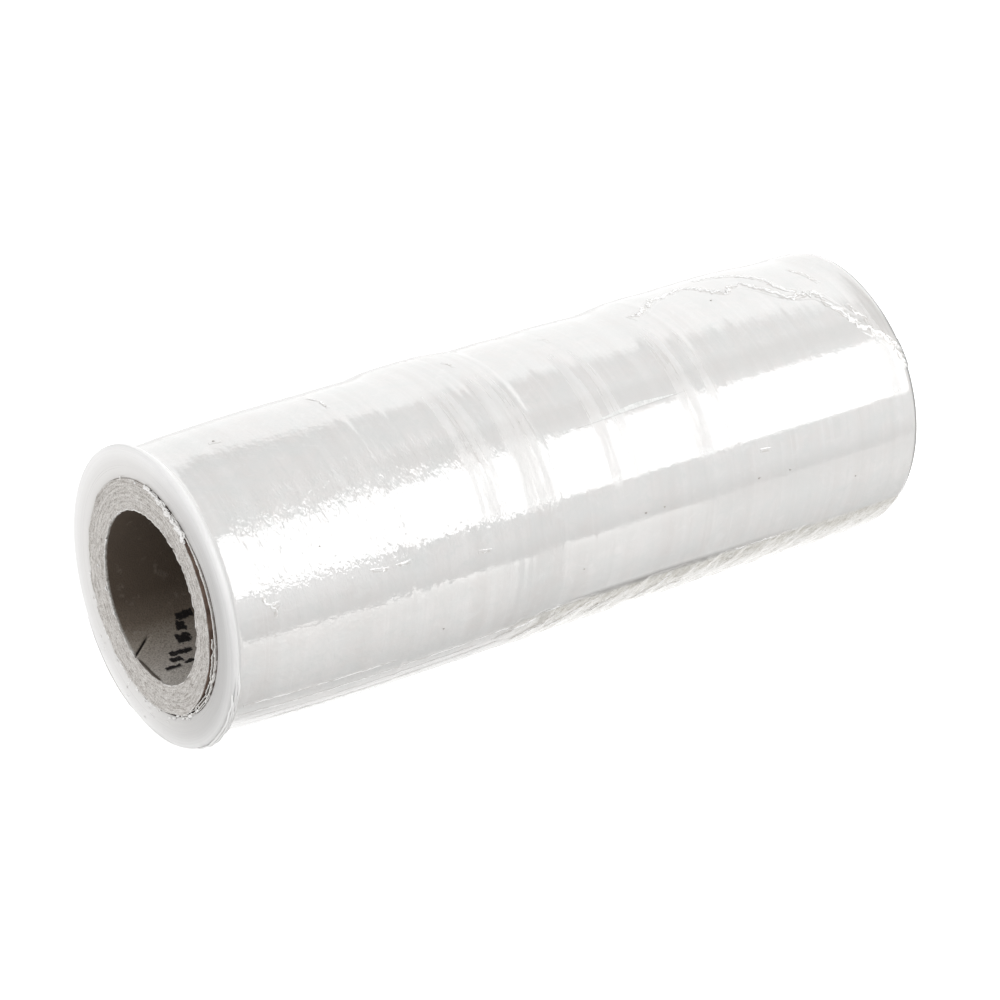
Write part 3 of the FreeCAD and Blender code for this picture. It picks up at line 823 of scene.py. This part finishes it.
def scrap(x, r, theta, size, seed, aspect=1.6):
    """A small crumpled flake standing at the end face."""
    u, v = np.meshgrid(np.linspace(-1, 1, 9), np.linspace(-1, 1, 6), indexing="ij")
    rs = np.random.RandomState(seed)
    turn = rs.uniform(-0.6, 0.6)
    du = size * aspect * (u * math.cos(turn) - v * math.sin(turn) / aspect)
    dv = size * (u * math.sin(turn) * 0.6 + v * math.cos(turn))
    fold = size * (0.35 * np.sin(2.2 * u + rs.uniform(0, 6)) + 0.3 * np.sin(2.9 * v + rs.uniform(0, 6))
                   + 0.15 * rs.uniform(-1, 1, u.shape))
    taper = 1 - 0.25 * np.abs(u) ** 3
    rr = r + dv * taper * 0.75
    tt = theta + np.degrees(du / r)
    scraps.add(place(x - 0.25 * size + fold, rr, tt), 0.09)


for k in range(44):
    th = 1 + 38 * (k + local.uniform(0, 1)) / 44
    scrap(local.uniform(-0.25, 0.25), 35.0 - 2.1 * gap_shape(th) ** 0.6 * local.uniform(0.05, 0.95),
          th, local.uniform(0.40, 0.95), 600 + k, 1.5)
for k in range(26):
    th = local.uniform(92, 160)
    scrap(local.uniform(0.1, 0.9), 34.4 + local.uniform(-0.9, 1.0) * min(1, (165 - th) / 30), th,
          local.uniform(0.14, 0.34), 700 + k, 2.4)
for k in range(40):
    th = local.uniform(146, 262)
    scrap(local.uniform(-0.15, 0.25), 34.9 + abs(local.normal(0, 0.5)), th,
          local.uniform(0.2, 0.5), 800 + k, 1.7)
for k in range(16):
    th = local.uniform(168, 232)
    scrap(local.uniform(-0.1, 0.2), local.uniform(36.2, 41.5), th, local.uniform(0.12, 0.26), 900 + k, 2.2)
for k in range(30):
    th = local.uniform(225, 330)
    scrap(local.uniform(-0.05, 0.3), 25.6 + local.uniform(-0.3, 0.3), th,
          local.uniform(0.12, 0.26), 1000 + k, 1.6)
for th, r, size in ((291, 25.0, 0.55), (254, 25.8, 0.6), (267, 29.2, 0.4), (352, 34.4, 0.6),
                    (338, 35.0, 0.5)):
    scrap(-0.1, r, th, size, int(th), 1.3)
scrap_mat = Nodes("paper_scraps")
grain = scrap_mat.noise(scrap_mat.coord, 1800, 3.0, 0.6)
scrap_mat.set(Base_Color=scrap_mat.ramp(grain, [(0.34, (0.66, 0.625, 0.585)), (0.43, (0.95, 0.94, 0.925)),
                                                (0.6, (1.0, 0.995, 0.985))]),
              Roughness=scrap_mat.span(grain, 0.3, 0.7, 0.55, 0.85),
              Normal=scrap_mat.bump(grain, 0.4, 0.0003))
flecks = scraps.build("core_torn_scraps", scrap_mat.mat)
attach(flecks, "root")
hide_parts("core_tube")

# ---------------------------------------------------- the film's crinkled tail
TAIL = [(168, 2), (174, 0), (183, -8), (190, -10), (197, -12), (200, -8), (203, 0), (205, 3),
        (208, -1), (213, 0), (217, 8), (219, 13), (222, 17), (226, 18), (231, 18), (233, 27),
        (236, 35), (238, 40), (243, 44), (246, 50), (248.5, 56), (249.2, 62)]
ARC = math.radians(1) * 45.0


def along_path(points, step):
    p = np.array([(x, t * ARC) for x, t in points], float)
    d = np.concatenate([[0], np.cumsum(np.linalg.norm(np.diff(p, axis=0), axis=1))])
    s = np.arange(0, d[-1], step)
    return s, np.stack([np.interp(s, d, p[:, 0]), np.interp(s, d, p[:, 1])], -1)


def blur(v, width, step):
    k = int(3 * width / step)
    w = np.exp(-0.5 * (np.arange(-k, k + 1) * step / width) ** 2)
    w /= w.sum()
    pad = np.concatenate([np.repeat(v[:1], k, 0), v, np.repeat(v[-1:], k, 0)])
    return np.stack([np.convolve(pad[:, c], w, "valid") for c in range(v.shape[1])], -1)


def crinkle_strip(sheets, points, half, step, seed, height, spine=3.0, jagged=1.0, strand=1.0, milky=1.0, wide=0.27):
    """A strip of film laid on the roll along a path, with a curled hem."""
    s, line = along_path(points, step)
    mid = blur(line, spine, step)
    tang = np.gradient(mid, axis=0)
    tang /= np.linalg.norm(tang, axis=1, keepdims=True)
    norm = np.stack([-tang[:, 1], tang[:, 0]], -1)
    shift = ((line - mid) * norm).sum(1)[:, None]
    t = np.linspace(-half, half, int(2 * half / step) + 1)[None, :]
    length = s[-1]
    n1 = lambda sc, sd: lattice(s[:, None] / length + 0 * t, 0.5 + t / 20, max(2, int(length / sc)), 23, sd)
    jag = jagged * (0.75 * n1(2.3, seed)[:, :1] + 0.6 * n1(1.0, seed + 1)[:, :1])
    d = t - shift - jag
    w1 = wide * (1 + 0.37 * n1(2.0, seed + 2)[:, :1])
    hem = height * (0.62 + 0.5 * n1(3.1, seed + 3)[:, :1]) * bump(d, 0, w1)
    hem += 0.5 * height * np.clip(n1(5.0, seed + 4)[:, :1] + 0.2, 0, 1) * bump(d, 0.95 + 0.7 * n1(1.7, seed + 5)[:, :1], 0.24)
    hem += 0.4 * height * np.clip(n1(6.0, seed + 6)[:, :1], 0, 1) * bump(d, -1.2, 0.4)
    d2 = d - jagged * (1.1 * n1(1.6, seed + 8)[:, :1] + 0.5 * n1(0.8, seed + 9)[:, :1])
    hem += 0.6 * strand * height * (0.55 + 0.6 * n1(1.9, seed + 10)[:, :1]) * bump(d2, 0, 0.8 * wide)
    body = lattice(s[:, None] / length + 0.02 * t, 0.5 + t / 12, max(2, int(length / 1.1)), 17, seed + 7)
    hem += 0.30 * strand * height * body * bump(d, 0, 1.5)
    fade = 1 - smooth(half * 0.55, half, np.abs(t)) * np.ones_like(hem)
    ends = smooth(0, 4, s)[:, None] * smooth(0, 4, length - s)[:, None]
    x = np.clip(mid[:, :1] + norm[:, :1] * t, 1, 249.2)
    th = (mid[:, 1:] + norm[:, 1:] * t) / ARC
    base = body_radius(x) + film_relief(x, th)
    h = 0.05 * fade - 0.22 * (1 - fade) + hem * fade * ends
    sheets.add(place(x, base + h - 0.06, th), 0.12, milky * np.clip(hem / height, 0, 1) * fade * ends)


tail_sheets = Sheets()
crinkle_strip(tail_sheets, TAIL, 3.4, 0.23, 1501, 0.38, 3.0, 1.35, 1.5, 0.98, 0.44)
crinkle_strip(tail_sheets, [(204, -17), (211, -15), (218.6, -6.2), (221, -0.2), (221.5, 6.8), (223.6, 12.5),
                            (228, 15.5)], 1.9, 0.26, 1521, 0.26, 2.0, 1.1, 1.3, 1.0, 0.38)
crinkle_strip(tail_sheets, [(233, -3), (234.7, 3.9), (235.6, 9), (236, 14.5)], 1.4, 0.28, 1531, 0.18, 2.0)
crinkle_strip(tail_sheets, [(238, 27), (238, 31), (241, 36), (241, 44), (240.5, 49)], 1.5, 0.3, 1541, 0.22, 2.0)
# a star of small creases behind the rim and a few nicks further back
for path, hgt in (([(11.4, 71.6), (12.8, 72.6), (13.8, 74.9), (15.0, 77.0), (15.9, 79.0), (15.2, 82)], 0.34),
                  ([(13.0, 75.4), (15.2, 75.8), (17.8, 75.6)], 0.30), ([(15.4, 80.0), (16.6, 77.4), (17.6, 75.2)], 0.26),
                  ([(46, 74), (49.5, 74.8), (53, 75.6)], 0.16),
                  ([(54.5, 75.4), (57, 75.2), (60.5, 75)], 0.15), ([(82, 79.5), (84.5, 80), (87, 80.6)], 0.16),
                  ([(186, 74.8), (188, 75), (190.5, 75.4)], 0.2), ([(157, 133), (162, 131), (168, 134)], 0.3),
                  ([(20, 2.2), (22, 3), (24, 3.4)], 0.25), ([(58.4, -10), (59.4, -4), (59, 4)], 0.2),
                  ([(103, -6), (104.5, -3), (104, 1)], 0.22), ([(137, -4), (138.4, -1), (138, 2)], 0.2)):
    crinkle_strip(tail_sheets, path, 0.95, 0.2, int(path[0][0] * 7) + 40, hgt, 0.5)
# ruffled edges below the seam and long thin edges of turns along the belly
for path, hgt in (([(92, 127), (98, 124), (104, 121), (110, 118.5), (118, 117.6)], 0.42),
                  ([(100, 134), (106, 130), (112, 125), (118, 121)], 0.45),
                  ([(112, 136), (118, 130), (125, 124), (131, 119.5)], 0.42),
                  ([(128, 134), (134, 128), (140, 122)], 0.36), ([(146, 135), (152, 128), (158, 121.5)], 0.36),
                  ([(176, 118.5), (186, 118), (196, 118.4), (206, 118)], 0.22)):
    crinkle_strip(tail_sheets, path, 1.3, 0.26, int(path[0][0] * 5) + 3, hgt, 1.0, 0.6, 0.8)
for path, hgt in (([(6, 126), (40, 124.5), (80, 122.5), (100, 121)], 0.16),
                  ([(10, 133), (45, 130.5), (88, 127)], 0.20), ([(20, 139), (60, 136), (100, 131)], 0.22),
                  ([(6, 119), (30, 118.2), (58, 118)], 0.10)):
    crinkle_strip(tail_sheets, path, 0.9, 0.32, int(path[0][0] * 9) + 11, hgt, 3.0, 0.3, 0.5)
tail = tail_sheets.build("film_tail_edge", film_mat)
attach(tail, "root")
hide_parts("film_roll")

# dark grit caught on the film
grit = Sheets()
for k, (gx, gt, size) in enumerate(((142, 85, 0.26), (149, 85, 0.22), (185, 85.5, 0.26), (197, 86, 0.22),
                                    (22, 1.5, 0.24), (198, 5, 0.22), (59, 2, 0.2), (33, 60, 0.16),
                                    (120, 101, 0.16), (71, 108, 0.18), (224, 98, 0.18))):
    uu, vv = np.meshgrid(np.linspace(-1, 1, 6), np.linspace(-1, 1, 6), indexing="ij")
    rs = np.random.RandomState(1700 + k)
    gx_, gt_ = gx + size * 1.3 * uu, gt + size * 0.8 * vv / ARC
    lift = 0.10 * (1 - uu * uu) * (1 - vv * vv) + 0.03 * rs.uniform(-1, 1, uu.shape)
    grit.add(place(gx_, body_radius(gx_) + film_relief(gx_, gt_) + 0.05 + lift, gt_), 0.08)
grit_mat = Nodes("grit_dark")
gn = grit_mat.noise(grit_mat.coord, 2500, 2.0, 0.6)
grit_mat.set(Base_Color=grit_mat.ramp(gn, [(0.3, (0.22, 0.20, 0.18)), (0.7, (0.52, 0.49, 0.45))]),
             Roughness=grit_mat.span(gn, 0.3, 0.7, 0.5, 0.8))
grit_ob = grit.build("film_grit", grit_mat.mat)
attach(grit_ob, "root")
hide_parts("film_roll")

# film edges that stand a little off the rim near the bottom
edges = Sheets()
for x0, r0, t0, t1, seed in ((0.55, 44.35, 104, 152, 1601), (1.25, 44.55, 108, 146, 1602),
                             (1.95, 44.4, 112, 150, 1603), (2.5, 43.9, 96, 138, 1604),
                             (0.3, 44.05, 196, 240, 1605)):
    th = np.linspace(t0, t1, 90)[:, None]
    w = np.linspace(-0.5, 0.5, 4)[None, :]
    ends = smooth(t0, t0 + 7, th) * (1 - smooth(t1 - 7, t1, th))
    x = x0 + w * 0.5 + 0.14 * noise(th * 0, th, 60, 6, seed, 2)
    r = r0 - 0.40 + ends * (0.72 + 0.30 * noise(th * 0, th, 60, 5, seed + 50, 2)) + 0.45 * w * ends
    edges.add(place(x, r, th), 0.12, np.where(np.abs(w) > 0.4, 0.18, 0.62) + 0 * th)
rim_edges = edges.build("film_rim_edges", film_mat)
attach(rim_edges, "root")
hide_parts("film_roll")

# ------------------------------------------------------------ stage and light
FLOOR = 4.0


def floor_plane(name, z, grey, glow):
    m = Nodes(name)
    shade = m.noise(m.coord, 3.0, 2.0)
    m.set(Base_Color=m.ramp(shade, [(0.3, (grey,) * 3), (0.7, (grey * 1.02,) * 3)]),
          Roughness=0.9, Emission_Color=(1, 1, 1), Emission_Strength=glow)
    ob = mesh_object(name, [(-FLOOR, -FLOOR, z), (FLOOR, -FLOOR, z), (FLOOR, FLOOR, z),
                            (-FLOOR, FLOOR, z)], [(0, 1, 2, 3)], m.mat)
    return ob


# the pale floor that is seen, and the duller one that the roll is lit by
floor = floor_plane("floor", 0.0, 0.80, 0.66)
floor.visible_diffuse = floor.visible_glossy = False
floor_dull = floor_plane("floor_dull", -0.0001, 0.48, 0.36)
floor_dull.visible_camera = floor_dull.visible_shadow = False


def card(name, points, stops, axis, low_end, high_end):
    """A studio card that only mirror-like reflections see; its brightness
    runs along one axis (0 x, 1 y, 2 z) between two places in metres."""
    m = Nodes(name)
    fade = m.span(m.split()[axis], low_end, high_end)
    grey = m.ramp(fade, [(p, tuple(v / 2 for v in c)) for p, c in stops])
    m.set(Base_Color=(0.02, 0.02, 0.02), Roughness=1.0, Specular_IOR_Level=0.0,
          Emission_Color=grey, Emission_Strength=4.0)
    ob = mesh_object(name, points, [(0, 1, 2, 3)], m.mat, False)
    ob.visible_camera = ob.visible_diffuse = ob.visible_shadow = False
    ob.visible_transmission = ob.visible_volume_scatter = False


card("flag_dark", [(-0.30, -0.134, 0.0), (0.60, -0.134, 0.0), (0.60, -0.134, 0.075),
                   (-0.30, -0.134, 0.075)], [(0.0, (0.06, 0.062, 0.064)), (0.28, (0.125, 0.128, 0.132)),
                            (1.0, (0.165, 0.169, 0.173))],
     2, 0.0, 0.075)
for part, x0, x1, lift, keep in (("near_floor", -0.20, 0.0238, 1.0, 1.0), ("near_floor_gap", 0.0238, 0.0421, -0.5, 0.62),
                                 ("near_floor_mid", 0.0421, 0.078, 0.42, 0.97), ("near_floor_dim", 0.078, 0.1004, 0.05, 0.86)):
    steps = [(0.0, 0.60 + 0.85 * lift), (0.05, 0.60 + 0.50 * lift), (0.10, 0.64), (0.22, 0.54), (0.45, 0.40),
             (0.75, 0.29), (0.92, 0.19), (1.0, 0.17)]
    card(part, [(x0 + 0.0088, -0.1335, 0.0015), (x1 + 0.0088, -0.1335, 0.0015),
                (x1 - 0.0463, -0.036, 0.0015), (x0 - 0.0463, -0.036, 0.0015)],
         [(at, (v * keep, v * keep * 0.984, v * keep * 0.968)) for at, v in steps], 1, -0.1335, -0.040)
card("near_floor_rear", [(0.1092, -0.1335, 0.0015), (0.60, -0.1335, 0.0015), (0.60, -0.036, 0.0015),
                         (0.0541, -0.036, 0.0015)],
     [(0.0, (0.29, 0.286, 0.282)), (0.45, (0.27, 0.266, 0.262)), (0.75, (0.24, 0.236, 0.232)),
      (0.92, (0.20, 0.196, 0.192)), (1.0, (0.19, 0.186, 0.182))],
     1, -0.1335, -0.040)
card("under_floor", [(-0.20, -0.036, 0.0012), (0.60, -0.036, 0.0012), (0.60, 0.050, 0.0012),
                     (-0.20, 0.050, 0.0012)], [(0.0, (0.30, 0.295, 0.285)), (0.3, (0.46, 0.456, 0.448)),
                                               (0.6, (0.57, 0.566, 0.558)), (1.0, (0.67, 0.668, 0.66))],
     1, -0.036, -0.020)
card("far_floor", [(-1.0, 0.055, 0.001), (1.6, 0.055, 0.001), (1.6, 1.6, 0.001),
                   (-1.0, 1.6, 0.001)], [(0.0, (0.55, 0.547, 0.543)), (1.0, (0.55, 0.547, 0.543))],
     1, 0.0, 1.0)


def panel(name, corner, side_a, side_b, radiance, glossy_only=False):
    """Flat soft light: one corner and its two sides, in metres, and how
    bright its face is.  It shines along side_a x side_b."""
    a, b = Vector(side_a), Vector(side_b)
    centre = Vector(corner) + a / 2 + b / 2
    away = a.cross(b).normalized()
    light = bpy.data.lights.new(name, "AREA")
    light.shape = "RECTANGLE"
    light.size, light.size_y = a.length, b.length
    light.energy = radiance * math.pi * a.length * b.length
    ob = bpy.data.objects.new(name, light)
    xa = a.normalized()
    za = -away
    ya = za.cross(xa)
    ob.matrix_world = Matrix.Translation(centre) @ Matrix((xa, ya, za)).transposed().to_4x4()
    bpy.context.scene.collection.objects.link(ob)
    ob.visible_camera = False
    if glossy_only:
        ob.visible_diffuse = False
    return ob


# large soft box at the right front: its reflection is the bright band
top_edge, low_edge = (-0.668, 1.068), (-1.224, 0.222)
panel("key_softbox", (-0.10, low_edge[0], low_edge[1]),
      (0, top_edge[0] - low_edge[0], top_edge[1] - low_edge[1]), (1.50, 0, 0), 2.10)
# tall panel behind the roll: it lights the top
u = Vector((0.47, -0.88, 0)).normalized()
mid = Vector((0.941, 0.805, 0))
start = mid - u * 1.15
panel("back_panel", (start.x, start.y, 0.0), tuple(u * 1.9), (0, 0, 1.50), 0.92)
# soft panel at the left front, for the end face and the bore
panel("end_panel", (-1.15, -0.95, 0.10), (0, 1.7, 0), (0, 0, 1.1), 0.95)

world = bpy.data.worlds.new("studio")
bpy.context.scene.world = world
world.use_nodes = True
wt = world.node_tree
wt.nodes.clear()
wout = wt.nodes.new("ShaderNodeOutputWorld")
back = wt.nodes.new("ShaderNodeBackground")
back.inputs[0].default_value = (1, 1, 1, 1)
back.inputs[1].default_value = 0.60
wt.links.new(back.outputs[0], wout.inputs[0])

scene = bpy.context.scene
scene.view_settings.view_transform = "Standard"
scene.view_settings.look = "None"
scene.view_settings.exposure = 0.0
scene.view_settings.gamma = 1.0

# -------------------------------------------------------------------- camera
cam_data = bpy.data.cameras.new("camera")
cam_data.sensor_width = 36.0
cam_data.lens = 113.28
cam_data.clip_start = 0.05
cam = bpy.data.objects.new("camera", cam_data)
forward = Vector((0.52968391, 0.73253692, -0.42757995)).normalized()
right = Vector((0.81034859, -0.58594809, 0.0)).normalized()
upward = right.cross(forward)
cam.matrix_world = Matrix.Translation((-0.50543839, -0.69360870, 0.44563259)) @ Matrix(
    (right, upward, -forward)).transposed().to_4x4()
scene.collection.objects.link(cam)
scene.camera = cam
